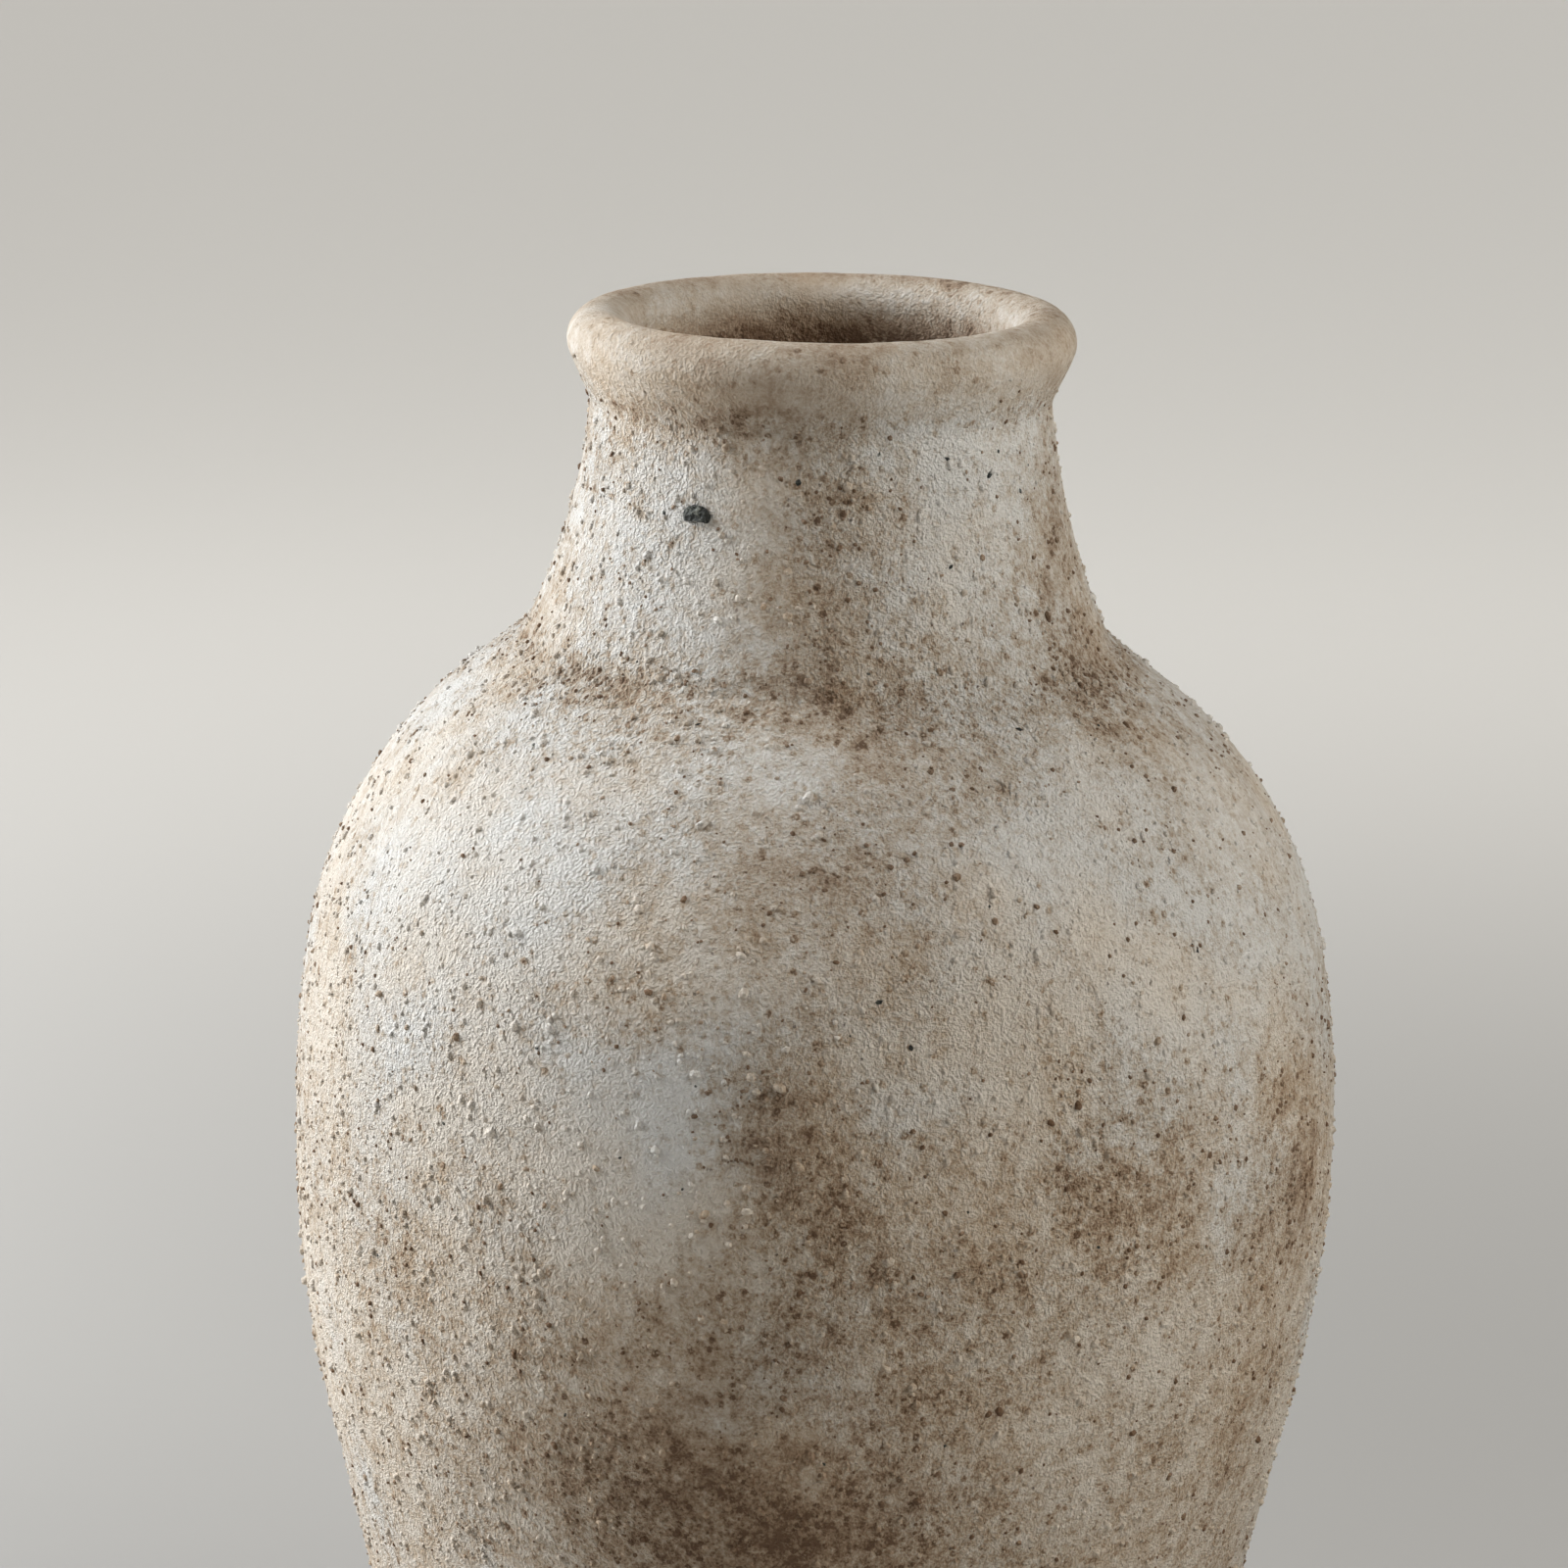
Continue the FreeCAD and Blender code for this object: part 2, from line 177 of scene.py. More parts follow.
def nearest(outline, point):
    """The index of the outline's point nearest to another."""
    return int(np.argmin(np.linalg.norm(outline - point, axis=1)))


def cut(outline, start, end, spacing):
    """The stretch of an outline between the points nearest to two others, evenly spaced."""
    first, last = nearest(outline, start), nearest(outline, end)
    stretch = outline[first:last + 1] if first <= last else outline[last:first + 1][::-1]
    return spaced(stretch, spacing)


# --- Seeded noise ---

HASH_X, HASH_Y, HASH_Z = 73856093, 19349663, 83492791  # large primes, one for each axis
SEED_STEP = 17.31  # how far one seed's noise is shifted from the next, in features
NOISE_GAIN = 1.7  # brings gradient noise to about -1 to 1
DIRECTIONS = np.random.default_rng(SEED).normal(size=(4096, 3))
DIRECTIONS /= np.linalg.norm(DIRECTIONS, axis=1, keepdims=True)


def noise(points, size, seed):
    """Gradient noise about -1 to 1 with features of a size, at points in millimetres."""
    cells = points / size + seed * SEED_STEP
    base = np.floor(cells).astype(np.int64)
    local = cells - base
    fade = local**3 * (local * (local * 6 - 15) + 10)
    total = np.zeros(len(points))
    for corner in np.ndindex(2, 2, 2):
        offset = np.array(corner)
        x, y, z = (base + offset).T
        pick = (x * HASH_X ^ y * HASH_Y ^ z * HASH_Z) % len(DIRECTIONS)
        weight = np.prod(np.where(offset, fade, 1 - fade), axis=1)
        total += weight * np.einsum("ij,ij->i", DIRECTIONS[pick], local - offset)
    return total * NOISE_GAIN


def layered(points, size, layers, seed):
    """Noise with finer and weaker layers added."""
    return sum(noise(points, size / 2**k, seed + k) / 2**k for k in range(layers))


def smooth(value):
    """0 below 0, 1 above 1, and a smooth rise between."""
    share = np.clip(value, 0, 1)
    return share * share * (3 - 2 * share)


def bump(distance, width):
    """A smooth hill: 1 at no distance, fading out over a width."""
    return np.exp(-((distance / width) ** 2))


# --- How the clay departs from a true turned shape: lengths in millimetres ---

CREASE_TILT = math.radians(1.05)  # the neck's joint runs down to the right
CREASE_REACH_MM = 17.0
SWAY_MM = 0.5
SWAY_LEVEL_MM = 158.0
SWAY_REACH_MM = 26.0
WIPED_LEVEL_MM = 268.0  # the skin is wiped smooth from here up
WORN_LEVEL_MM = 211.0  # middle of the smoother band round the shoulder
THROWING_PITCH_MM = 8.5
THROWING_RIDGE_MM = 0.3
THROWING_TOP_MM = 262.0
TURNING_PITCH_MM = 2.3
SEAM_RIDGE_MM = 0.28


def settled(points):
    """Points moved as the drying pot leaned: the neck's joint tilts and the belly sways."""
    moved = points.copy()
    near_crease = bump(points[:, 2] - CREASE[1], CREASE_REACH_MM)
    moved[:, 2] -= points[:, 0] * math.tan(CREASE_TILT) * near_crease
    moved[:, 0] += SWAY_MM * bump(points[:, 2] - SWAY_LEVEL_MM, SWAY_REACH_MM)
    moved[:, 2] = np.maximum(moved[:, 2], 0.0)
    return moved


def grit_at(points):
    """How sandy the skin is, 0 to 1: smoother at the lip and shoulder, gritty at the seam."""
    level = points[:, 2]
    wiped = smooth((level - WIPED_LEVEL_MM) / 5.0)
    seam = bump(level - CREASE[1] + 1.0, 4.0)
    worn = bump(level - WORN_LEVEL_MM, 15.0)
    return np.clip(0.76 - 0.52 * wiped - 0.22 * worn + 0.26 * seam
                   + 0.22 * layered(points, 22.0, 2, 5), 0, 1)


def relief(points):
    """The height of the skin above the true shape."""
    level = points[:, 2]
    height = 0.16 * layered(points, 34.0, 2, 1) + 0.09 * layered(points, 9.0, 2, 2)
    height += 0.07 * grit_at(points) * layered(points, 2.4, 2, 3)
    seam = bump(level - CREASE[1] + 0.6, 2.2)
    height += SEAM_RIDGE_MM * seam * (0.5 + layered(points, 2.6, 2, 4))
    return height


def throwing(points):
    """Relief inside the pot: a spiral of throwing ridges that fades out under the lip."""
    around = np.arctan2(points[:, 1], points[:, 0]) / math.tau
    ridges = np.cos(math.tau * (points[:, 2] / THROWING_PITCH_MM + around))
    fade = smooth((THROWING_TOP_MM - points[:, 2]) / 10.0)
    uneven = 1 + 0.4 * layered(points, 30.0, 1, 6)
    return relief(points) + THROWING_RIDGE_MM * fade * ridges * uneven


def scraped(points):
    """Relief of the bare clay underneath, with the fine rings that turning leaves."""
    radius = np.hypot(points[:, 0], points[:, 1])
    rings = np.cos(math.tau * radius / TURNING_PITCH_MM + 2 * layered(points, 20.0, 1, 8))
    return 0.12 * layered(points, 14.0, 2, 7) + 0.06 * layered(points, 2.5, 2, 9) + 0.05 * rings


# Clouds of bare brown clay (strength above 0) and of thick wash (below 0); the brown cloud low in
# the front middle is painted shade. Each has its degrees from the front, level, half width in
# degrees, half height in millimetres and strength.
CLOUDS = (
    (5, 240, 14, 12, 0.30),
    (-5, 252, 16, 12, 0.14),
    (-70, 274, 34, 8, -0.24),
    (-6, 264, 16, 6, 0.26),
    (-34, 266, 15, 4, 0.24),
    (52, 271, 20, 7, -0.18),
    (24, 268, 20, 6, -0.16),
    (12, 274, 9, 4, -0.12),
    (-55, 250, 24, 16, -0.14),
    (-24, 246, 10, 12, -0.16),
    (72, 252, 9, 12, 0.20),
    (36, 256, 13, 9, -0.30),
    (26, 244, 12, 9, -0.22),
    (62, 240, 14, 14, 0.16),
    (5, 231, 14, 5, 0.14),
    (62, 231, 14, 6, 0.24),
    (-45, 229, 20, 4, 0.12),
    (-40, 206, 20, 14, -0.28),
    (-62, 212, 20, 18, -0.10),
    (0, 211, 11, 9, 0.48),
    (22, 222, 14, 5, 0.20),
    (36, 202, 14, 14, -0.30),
    (60, 192, 18, 14, -0.20),
    (-18, 188, 12, 8, -0.12),
    (-3, 178, 7, 12, 0.46),
    (15, 181, 8, 6, -0.14),
    (8, 160, 12, 14, 0.28),
    (-10, 150, 10, 10, 0.16),
    (-21, 170, 11, 14, -0.34),
    (-52, 177, 16, 12, -0.26),
    (36, 163, 10, 10, 0.34),
    (48, 168, 5, 9, -0.14),
    (62, 157, 10, 16, 0.36),
    (77, 160, 10, 20, 0.08),
    (74, 124, 12, 22, -0.30),
    (-62, 132, 16, 30, -0.14),
    (40, 144, 9, 8, -0.18),
    (-22, 124, 14, 16, 0.34),
    # Painted shade: this brown cloud low in the front middle darkens the shaded band between the
    # key and the fill.
    (2, 113, 22, 24, 0.50),
    (60, 122, 14, 14, 0.16),
    (140, 190, 30, 24, 0.35),
    (-150, 150, 28, 30, 0.34),
    (170, 235, 34, 9, 0.30),
    (120, 120, 26, 24, -0.25),
    (-120, 210, 28, 20, -0.28),
    (-100, 120, 18, 22, 0.28),
    (100, 205, 22, 18, -0.20),
    (180, 180, 20, 16, -0.20),
    (-170, 90, 26, 20, 0.25),
    (20, 70, 30, 20, 0.25),
    (-60, 60, 26, 18, -0.20),
)


FAR_AZIMUTH = 165.0  # middle of the painted shade on the mouth's far wall


def azimuth_of(points):
    """Degrees round from the front, to the right."""
    return np.degrees(np.arctan2(points[:, 0], -points[:, 1]))


def degrees_past(azimuth, start):
    """Degrees from one azimuth to another the short way round, from -180 to 180."""
    return (azimuth - start + 180.0) % 360.0 - 180.0


def skin_tone(points):
    """The outside's tone, from 0 to 1: how much bare brown clay shows through the wash, with
    painted shade in the low front cloud and a browner lip.
    """
    level, azimuth = points[:, 2], azimuth_of(points)
    tone = 0.25 + 0.10 * layered(points, 46.0, 3, 11) + 0.10 * layered(points, 13.0, 3, 12)
    edge = 1 + 0.5 * noise(points, 10.0, 13)
    for centre, height, wide, tall, strength in CLOUDS:
        turn = degrees_past(azimuth, centre)
        tone += strength * np.exp(-((turn / wide) ** 2 + ((level - height) / tall) ** 2) * edge)
    tone += 0.14 * bump(level - CREASE[1] + 0.5, 4.0) + 0.35 * np.exp(-level / 12.0)
    # Browner over the lip from 262 mm up.
    tone += 0.36 * smooth((level - 262.0) / 10.0)
    return np.clip(tone, 0, 1)


def inside_tone_and_shade(points):
    """The inside's own tone, with painted shade: browner down inside the mouth, most on the far
    wall.
    """
    # Painted shade: deep browns the clay down the mouth and far browns the far wall, over a tone of
    # 0.36.
    deep = smooth((HEIGHT_MM - 2.0 - points[:, 2]) / 9.0)
    far = bump(degrees_past(azimuth_of(points), FAR_AZIMUTH), 50.0)
    return np.clip(0.36 + 0.66 * deep * (0.60 + 0.6 * far) + 0.10 * layered(points, 30.0, 3, 14),
                   0, 1)


def inside_grit(points):
    """The smooth clay inside."""
    return np.clip(0.12 + 0.1 * layered(points, 18.0, 2, 15), 0, 1)


def bare_tone(points):
    """The brown of clay with no wash over it."""
    return np.clip(0.80 + 0.14 * layered(points, 20.0, 3, 16), 0, 1)


def bare_grit(points):
    """The coarse clay of the foot."""
    return np.clip(0.85 + 0.2 * layered(points, 16.0, 2, 17), 0, 1)


def in_mouth(points):
    """0 on the skin outside, rising to 1 down the inner face of the lip."""
    radius = np.hypot(points[:, 0], points[:, 1])
    return smooth((LIP_RADIUS_MM - 1.0 - radius) / 3.5)


def tone_at(points):
    """The skin's tone outside, passing down the lip into the inside's tone and its painted shade.
    """
    share = in_mouth(points)
    return skin_tone(points) * (1 - share) + inside_tone_and_shade(points) * share


# --- Materials: procedural, in millimetres of the object's own space ---


def linear(red, green, blue):
    """A colour given in sRGB from 0 to 255, as linear RGBA."""
    channels = [c / 255 for c in (red, green, blue)]
    return [c / 12.92 if c <= 0.04045 else ((c + 0.055) / 1.055) ** 2.4 for c in channels] + [1]


class Shading:
    """A material's node tree, with short calls for the nodes used here."""

    def __init__(self, name):
        self.material = bpy.data.materials.new(name)
        self.material.use_nodes = True
        self.tree = self.material.node_tree
        self.shader = self.tree.nodes["Principled BSDF"]
        position = self.node("ShaderNodeTexCoord").outputs["Object"]
        scaled = self.node("ShaderNodeVectorMath", {"Vector": position, "Scale": 1 / MM},
                           operation="SCALE")
        self.place = scaled.outputs["Vector"]
        self.height = self.node("ShaderNodeSeparateXYZ", {0: self.place}).outputs["Z"]

    def node(self, kind, inputs=(), **settings):
        made = self.tree.nodes.new(kind)
        for key, setting in settings.items():
            setattr(made, key, setting)
        for key, wanted in dict(inputs).items():
            if isinstance(wanted, bpy.types.NodeSocket):
                self.tree.links.new(wanted, made.inputs[key])
            else:
                made.inputs[key].default_value = wanted
        return made

    def math(self, operation, one, other=0.0, third=0.0):
        inputs = {0: one, 1: other, 2: third}
        return self.node("ShaderNodeMath", inputs, operation=operation).outputs[0]

    def attribute(self, name):
        return self.node("ShaderNodeAttribute", attribute_name=name).outputs["Fac"]

    def noise(self, size, detail=2.0, rough=0.55, shift=0.0):
        """Noise about -0.5 to 0.5, with features of a size."""
        place = self.node("ShaderNodeVectorMath", {0: self.place, 1: (shift, shift, shift)})
        made = self.node("ShaderNodeTexNoise", {
            "Vector": place.outputs[0], "Scale": 1 / size, "Detail": detail, "Roughness": rough
        })
        return self.math("SUBTRACT", made.outputs["Fac"], 0.5)

    def spots(self, cell, reach, share):
        """Ragged spots, one to a cell where its draw is under a share: 1 in the middle."""
        wander = self.node("ShaderNodeTexNoise", {"Vector": self.place, "Scale": 2 / reach})
        shift = self.node("ShaderNodeVectorMath", {0: wander.outputs["Color"], "Scale": reach},
                          operation="SCALE")
        place = self.node("ShaderNodeVectorMath", {0: self.place, 1: shift.outputs[0]})
        made = self.node("ShaderNodeTexVoronoi", {"Vector": place.outputs[0], "Scale": 1 / cell})
        draw = self.node("ShaderNodeSeparateColor", {0: made.outputs["Color"]}).outputs[0]
        near = self.ramped(made.outputs["Distance"], reach / cell, 0.0)
        return self.math("MULTIPLY", near, self.math("LESS_THAN", draw, share))

    def rim(self, spot):
        """The rim of a spot: 1 half way down its side, 0 on its top and outside it."""
        return self.math("MULTIPLY", spot, self.math("MULTIPLY_ADD", spot, -4.0, 4.0))

    def ramped(self, value, start, end):
        """A value brought smoothly to 0 at start and 1 at end."""
        made = self.node("ShaderNodeMapRange", {
            "Value": value, "From Min": start, "From Max": end
        }, interpolation_type="SMOOTHSTEP")
        return made.outputs["Result"]

    def summed(self, terms):
        """The sum of values times weights."""
        total = 0.0
        for value, weight in terms:
            total = self.math("MULTIPLY_ADD", value, weight, total)
        return total

    def mixed(self, share, one, other, how="MIX"):
        made = self.node("ShaderNodeMix", {0: share, 6: one, 7: other}, data_type="RGBA",
                         blend_type=how)
        return made.outputs[2]

    def ramp(self, value, stops):
        made = self.node("ShaderNodeValToRGB", {0: value})
        band = made.color_ramp
        while len(band.elements) < len(stops):
            band.elements.new(0.5)
        for element, (position, colour) in zip(band.elements, stops):
            element.position = position
            element.color = colour
        return made.outputs["Color"]

    def finish(self, colour, height, roughness, specular):
        """Joins colour, height in millimetres and roughness to the shader."""
        bump = self.node("ShaderNodeBump", {"Height": height, "Distance": MM})
        for key, wanted in (("Base Color", colour), ("Normal", bump.outputs["Normal"]),
                            ("Roughness", roughness)):
            self.tree.links.new(wanted, self.shader.inputs[key])
        self.shader.inputs["Specular IOR Level"].default_value = specular
        return self.material


# Tones and their colours, from the thick wash to bare clay.
CLAY_COLOURS = (
    (0.00, linear(230, 227, 221)),
    (0.25, linear(215, 208, 198)),
    (0.50, linear(196, 182, 164)),
    (0.75, linear(167, 146, 124)),
    (1.00, linear(118, 95, 75)),
)
COOL = linear(253, 254, 255)
WARM = linear(255, 247, 237)
SPECK = linear(88, 71, 57)
WARM_FROM_MM, WARM_TO_MM = 225.0, 130.0  # the clay grows warmer down between these levels
CLAY_SPECULAR = 0.35


def make_clay(name, colours, roughness, crumbs):
    """Gritty clay whose colour follows the tone, with sand, crumbs, pits and dark specks, and
    painted shade in its hollows.

    crumbs is how far the raised crumbs and lumps stand out, and how dark the painted shadow rings
    round them are, from 0 to 1.
    """
    shading = Shading(name)
    tone, grit = shading.attribute("tone"), shading.attribute("grit")
    blotch = shading.noise(11.0, 4.0, 0.65)
    mottle = shading.noise(3.4, 4.0, 0.7, shift=40.0)
    fleck = shading.noise(1.1, 3.0, 0.6, shift=80.0)
    sand = shading.noise(0.44, 2.0, 0.6, shift=120.0)
    crumb = shading.spots(1.5, 0.62, 0.42)
    lump = shading.spots(3.1, 0.75, 0.35)
    speck = shading.ramped(shading.spots(2.3, 0.42, 0.16), 0.20, 0.55)
    pit = shading.spots(2.7, 0.42, 0.22)
    # Blotch and mottle are the clay's own tone. Sand and flecks are partly its own fine tone and
    # partly painted shade, browner where they sink. The pits are painted shade, and the rims of
    # crumbs and lumps are painted shadow rings.
    mixture = shading.summed([
        (blotch, 0.60), (mottle, 1.40), (fleck, -1.0), (sand, -0.85), (pit, 0.30),
        (shading.rim(crumb), 0.30 * crumbs), (shading.rim(lump), 0.45 * crumbs),
    ])
    contrast = shading.math("MULTIPLY_ADD", grit, 1.0, 0.26)
    level = shading.math("MULTIPLY_ADD", mixture, contrast, tone)
    colour = shading.ramp(level, colours)
    low = shading.ramped(shading.height, WARM_FROM_MM, WARM_TO_MM)
    warm_place = shading.math("MULTIPLY_ADD", low, 0.24, shading.noise(26.0, 2.0, shift=160.0))
    warmth = shading.ramped(warm_place, -0.08, 0.26)
    tint = shading.mixed(warmth, COOL, WARM)
    colour = shading.mixed(1.0, colour, tint, "MULTIPLY")
    stain = shading.math("MULTIPLY", speck, grit)
    colour = shading.mixed(shading.math("MULTIPLY", stain, 0.9), colour, SPECK)
    rough_ground = shading.math("MULTIPLY_ADD", grit, 0.85, 0.15)
    height = shading.summed([
        (sand, 1.05), (fleck, 0.85), (crumb, 0.34 * crumbs), (lump, 0.42 * crumbs), (pit, -0.30)
    ])
    height = shading.math("MULTIPLY", height, rough_ground)
    shine = shading.summed([(fleck, 0.12), (mottle, 0.10), (1.0, roughness)])
    return shading.finish(colour, height, shine, CLAY_SPECULAR)


clay = make_clay("washed_clay", CLAY_COLOURS, 0.86, 1.0)
bare_clay = make_clay("bare_clay", CLAY_COLOURS, 0.92, 0.8)
slip = make_clay("luting_slip", CLAY_COLOURS, 0.94, 0.4)
grog = make_clay("grog", CLAY_COLOURS, 0.86, 0.0)
STONE_COLOURS = (
    (0.55, linear(134, 136, 126)),
    (0.85, linear(84, 88, 82)),
    (1.00, linear(52, 55, 52)),
)
stone = make_clay("dark_stone", STONE_COLOURS, 0.6, 0.0)

# --- Sections of the pieces, in millimetres ---

LAP_MM = 1.0  # how far the clay is smeared over the edge of a slip joint


class Joint:
    """A slip joint between a lower piece's top and an upper piece's bottom.

    below and above are the (outer, inner) corners of the two clay faces. The lower piece's clay
    is smeared over the slip, so only the slip's middle is left between the faces.
    """

    def __init__(self, below, above, ridge=0.0):
        self.below, self.above = np.array(below), np.array(above)
        self.ridge = np.array([0.0, ridge])

    def crest(self, face):
        """The middle of a face, raised by the ridge."""
        return face.mean(axis=0) + self.ridge

    def buried(self, face):
        """A face's corners, moved a lap into the clay."""
        inward = LAP_MM * (face[1] - face[0]) / np.linalg.norm(face[1] - face[0])
        return [face[0] + inward, face[1] - inward]

    def top_of_lower(self):
        """From the outside to the inside over the lower piece's end."""
        outer, inner = self.buried(self.below)
        outer_lap, inner_lap = self.buried(self.above)
        return [outer_lap, outer, self.crest(self.below), inner, inner_lap]

    def bottom_of_upper(self):
        """The middle of the upper piece's end, between its inside and its outside."""
        return [self.crest(self.above)]

    def slip(self):
        """The closed section of the slip, from its outer edge over the top."""
        outer, inner = self.buried(self.below)
        outer_lap, inner_lap = self.buried(self.above)
        return [outer, outer_lap, self.crest(self.above), inner_lap, inner,
                self.crest(self.below)]


RISE = np.array([0.0, SLIP_MM])
FLOOR_LEVEL_MM = FOOT_MM + SLIP_MM
FLOOR_TOP_MM = FLOOR_LEVEL_MM + FLOOR_MM
BEVEL_MM = FLOOR_LEVEL_MM + FLOOR_EDGE_MM
FOOT_OUTER_MM = lower_point(0.0)[0]
FOOT_INNER_MM = FOOT_OUTER_MM - FOOT_WIDTH_MM

foot_face = np.array([lower_point(FOOT_MM), [FOOT_INNER_MM - FOOT_DRAFT_MM, FOOT_MM]])
floor_face = np.array([lower_point(BEVEL_MM), lower_point(FLOOR_TOP_MM, WALL_MM)])
belly_face = np.array([polar(BELLY_CENTRE, BELLY_ARC_MM, 0.0),
                       polar(BELLY_CENTRE, BELLY_ARC_MM - WALL_MM, 0.0)])
shoulder_run = SHOULDER_FLAT_MM - SLIP_MM
shoulder_face = [shoulder_point(shoulder_run), shoulder_point(shoulder_run, WALL_MM)]
neck_face = [neck_point(NECK_SLOPE), neck_point(NECK_SLOPE, WALL_MM)]
neck_top_face = np.array([neck_point(NECK_TOP_SLOPE), neck_point(NECK_TOP_SLOPE, WALL_MM)])

JOINTS = {
    "foot_slip": Joint(foot_face, foot_face + RISE),
    "floor_slip": Joint(floor_face, floor_face + RISE),
    "belly_slip": Joint(belly_face, belly_face + RISE, RIDGE_MM),
    "neck_slip": Joint(shoulder_face, neck_face),
    "lip_slip": Joint(neck_top_face, neck_top_face + RISE, RIDGE_MM),
}

# --- Meshes ---


def turned(section):
    """Radius and height pairs turned about the axis, one row of points for each pair."""
    around = np.linspace(-math.pi, math.pi, COLUMNS, endpoint=False)
    grid = np.empty((len(section), COLUMNS, 3))
    grid[:, :, 0] = section[:, :1] * np.cos(around)
    grid[:, :, 1] = section[:, :1] * np.sin(around)
    grid[:, :, 2] = section[:, 1:]
    return grid.reshape(-1, 3)


def outward(section):
    """Unit normals of a section, to the right of its direction of travel."""
    along = np.gradient(section, axis=0)
    along /= np.linalg.norm(along, axis=1, keepdims=True)
    return np.stack([along[:, 1], -along[:, 0]], axis=1)


def grid_faces(rows):
    """Quads of a grid that closes on itself both round its columns and over its rows."""
    row, column = np.arange(rows)[:, None], np.arange(COLUMNS)[None, :]
    above, beside = (row + 1) % rows, (column + 1) % COLUMNS
    corners = (row, column), (row, beside), (above, beside), (above, column)
    return np.stack([(r * COLUMNS + c).ravel() for r, c in corners], axis=1)


def store(mesh, name, values):
    """Keeps a number for every vertex, for the materials to read."""
    layer = mesh.attributes.new(name, "FLOAT", "POINT")
    layer.data.foreach_set("value", np.asarray(values, np.float32))


def add_piece(name, points, faces, replaces, material, tone, grit):
    """A piece of the vase from points in millimetres, riding on the root body."""
    mesh = bpy.data.meshes.new(name)
    mesh.from_pydata((settled(points) * MM).tolist(), [], faces.tolist())
    mesh.polygons.foreach_set("use_smooth", [True] * len(mesh.polygons))
    store(mesh, "tone", tone)
    store(mesh, "grit", grit)
    mesh.materials.append(material)
    piece = bpy.data.objects.new(name, mesh)
    bpy.context.scene.collection.objects.link(piece)
    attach(piece, "root")
    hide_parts(replaces)
    return piece


CORNER = math.radians(48)  # an edge sharper than this is shaded as a corner
AT_CENTRE = MM / COLUMNS  # metres; points nearer to the axis than this are on it


def add_turned(name, material, stretches):
    """A closed turned piece. Each stretch is a run of its section and the surface it has."""
    points, tones, grits = [], [], []
    for section, surface in stretches:
        section = np.array(section)
        base = turned(section)
        if surface.height is None:
            points.append(base)
        else:
            height = surface.height(base)[:, None]
            points.append(base + turned(outward(section)) * height)
        tones.append(surface.tone(base))
        grits.append(surface.grit(base))
    points = np.concatenate(points)
    piece = add_piece(name, points, grid_faces(len(points) // COLUMNS), name, material,
                      np.concatenate(tones), np.concatenate(grits))
    merge_centre(piece.data)
    piece.data.set_sharp_from_angle(angle=CORNER)
    return piece


def merge_centre(mesh):
    """Joins the points of a section that reaches the axis, and drops the faces they leave."""
    shape = bmesh.new()
    shape.from_mesh(mesh)
    middle = [v for v in shape.verts if math.hypot(v.co.x, v.co.y) < AT_CENTRE]
    bmesh.ops.remove_doubles(shape, verts=middle, dist=AT_CENTRE)
    shape.to_mesh(mesh)
    shape.free()


class Surface:
    """How a stretch of clay is finished: its height, tone and grit at points on it.

    A height of None leaves the points where they are.
    """

    def __init__(self, height, tone, grit):
        self.height, self.tone, self.grit = height, tone, grit


washed = Surface(relief, tone_at, grit_at)
thrown = Surface(throwing, inside_tone_and_shade, inside_grit)
hidden = Surface(None, inside_tone_and_shade, inside_grit)
bare = Surface(scraped, bare_tone, bare_grit)


def add_wall(name, below, above, spacing, inside_spacing):
    """A clay wall between two joints: up its skin, over its top, and down its inside."""
    skin = cut(OUTSIDE, below.above[0], above.above[0], spacing)
    back = cut(INSIDE, above.above[1], below.above[1], inside_spacing)
    return add_turned(name, clay, [
        (skin, washed),
        (above.top_of_lower(), hidden),
        (back, thrown),
        (below.bottom_of_upper(), hidden),
    ])


def add_lip(below, spacing):
    """The rolled lip: one skin from its underside over the bead and down inside the mouth."""
    lip = cut(OUTSIDE, below.above[0], OUTSIDE[-1], spacing)
    return add_turned("rolled_lip", clay, [
        (lip, washed), (below.bottom_of_upper(), hidden)
    ])


def add_floor_disc(below, above, spacing):
    """The floor slab: its underside inside the foot, its edge, the bevel, and its top."""
    edge = cut(OUTSIDE, below.above[0], above.above[0], spacing)
    underside = spaced(np.array([[0.0, FLOOR_LEVEL_MM], below.above[0]]), spacing)
    top = spaced(np.array([above.below[1], [0.0, FLOOR_TOP_MM]]), spacing)
    outer, _ = above.buried(above.below)
    outer_lap, _ = above.buried(above.above)
    return add_turned("floor_disc", bare_clay, [
        (underside[:-1], bare), (edge, bare), ([outer_lap, outer], hidden), (top, bare)
    ])


def add_foot_ring(above, spacing):
    """The foot ring: up its outside, over its joint face, down its inside, along its sole."""
    outer_bend = arc([FOOT_OUTER_MM - FOOT_ROUND_MM, FOOT_ROUND_MM], FOOT_ROUND_MM,
                     -math.pi / 2, 0.0, 12)
    inner_bend = arc([FOOT_INNER_MM + FOOT_ROUND_MM, FOOT_ROUND_MM], FOOT_ROUND_MM,
                     math.pi, 1.5 * math.pi, 12)
    outside = np.concatenate([outer_bend, [above.above[0]]])
    inside = np.concatenate([[above.above[1]], inner_bend, [outer_bend[0]]])
    return add_turned("foot_ring", bare_clay, [
        (spaced(outside, spacing), bare),
        (above.top_of_lower(), hidden),
        (spaced(inside, spacing)[:-1], bare),
    ])


def add_slip(name, joint, spacing):
    """A slip ring, worked between the two clay faces."""
    corners = joint.slip()
    sides = [spaced(np.array(side), spacing)[:-1]
             for side in zip(corners, corners[1:] + corners[:1])]
    return add_turned(name, slip, [(np.concatenate(sides), hidden)])


# --- Grog, stones and crusts set in the skin ---

